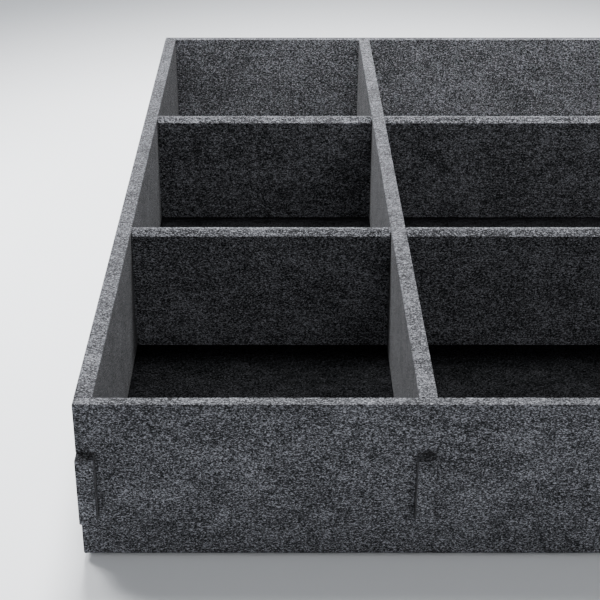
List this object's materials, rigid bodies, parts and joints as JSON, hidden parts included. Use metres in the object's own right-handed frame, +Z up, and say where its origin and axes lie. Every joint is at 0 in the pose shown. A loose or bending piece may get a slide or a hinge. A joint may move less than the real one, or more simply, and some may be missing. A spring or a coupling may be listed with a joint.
{
  "type": "divided storage tray",
  "caption": "Open-topped square storage unit of interlocking grey felt boards, with long and cross dividers parting it into open cells, on low round feet.",
  "frame": {"origin": "on the floor, under the middle of the unit", "axes": "+X along the front panel to the right, +Y from the front panel to the back panel, +Z up"},
  "size_m": [0.786, 0.802, 0.123],
  "materials": {
    "felt_board": "matt pressed felt, mottled dark and light grey fibres",
    "foot_rubber": "matt moulded"
  },
  "bodies": {
    "root": {"left_side_panel": "felt_board", "right_side_panel": "felt_board", "left_long_divider": "felt_board", "right_long_divider": "felt_board", "front_panel": "felt_board", "back_panel": "felt_board", "front_cross_divider": "felt_board", "rear_cross_divider": "felt_board", "base_panel": "felt_board", "foot_front_left": "foot_rubber", "foot_front_right": "foot_rubber", "foot_rear_left": "foot_rubber", "foot_rear_right": "foot_rubber", "inner_foot_front_left": "foot_rubber", "inner_foot_front_right": "foot_rubber", "inner_foot_rear_left": "foot_rubber", "inner_foot_rear_right": "foot_rubber"}
  },
  "joints": []
}
